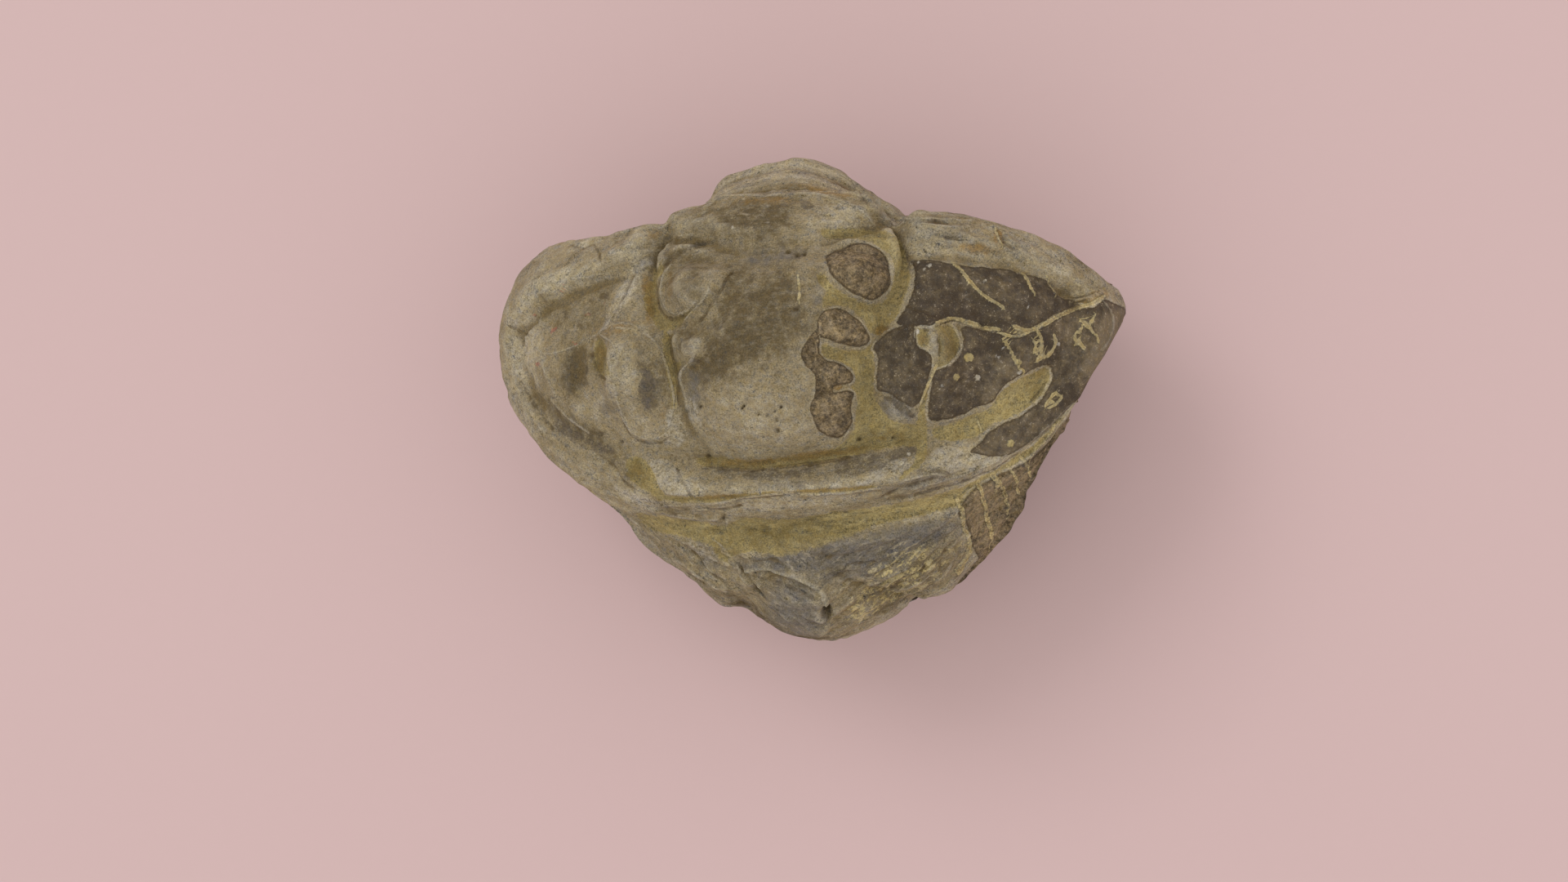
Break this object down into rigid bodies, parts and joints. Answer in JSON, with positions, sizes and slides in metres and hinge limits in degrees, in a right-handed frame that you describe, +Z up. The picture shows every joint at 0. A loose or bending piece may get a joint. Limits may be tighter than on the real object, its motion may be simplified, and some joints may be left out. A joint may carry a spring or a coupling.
{
  "type": "trilobite fossil",
  "caption": "Enrolled calymenid trilobite fossil: a rounded stone with the lobed head shield on top, ribbed thorax rolled behind it and tail tucked under the front of the head.",
  "frame": {"origin": "under the middle of the stone, on the surface it rests on", "axes": "+X to the right of the head shield seen from in front of its face with the neck uppermost, +Y from the face towards the neck, +Z up out of the face, as the stone lies on its back"},
  "size_m": [0.0388, 0.0295, 0.0242],
  "materials": {
    "stone": "dull fossil shell and hardened mud, grey-olive with dark brown cuticle and ochre matrix in the furrows"
  },
  "bodies": {
    "root": {"trilobite": "stone"}
  },
  "joints": []
}
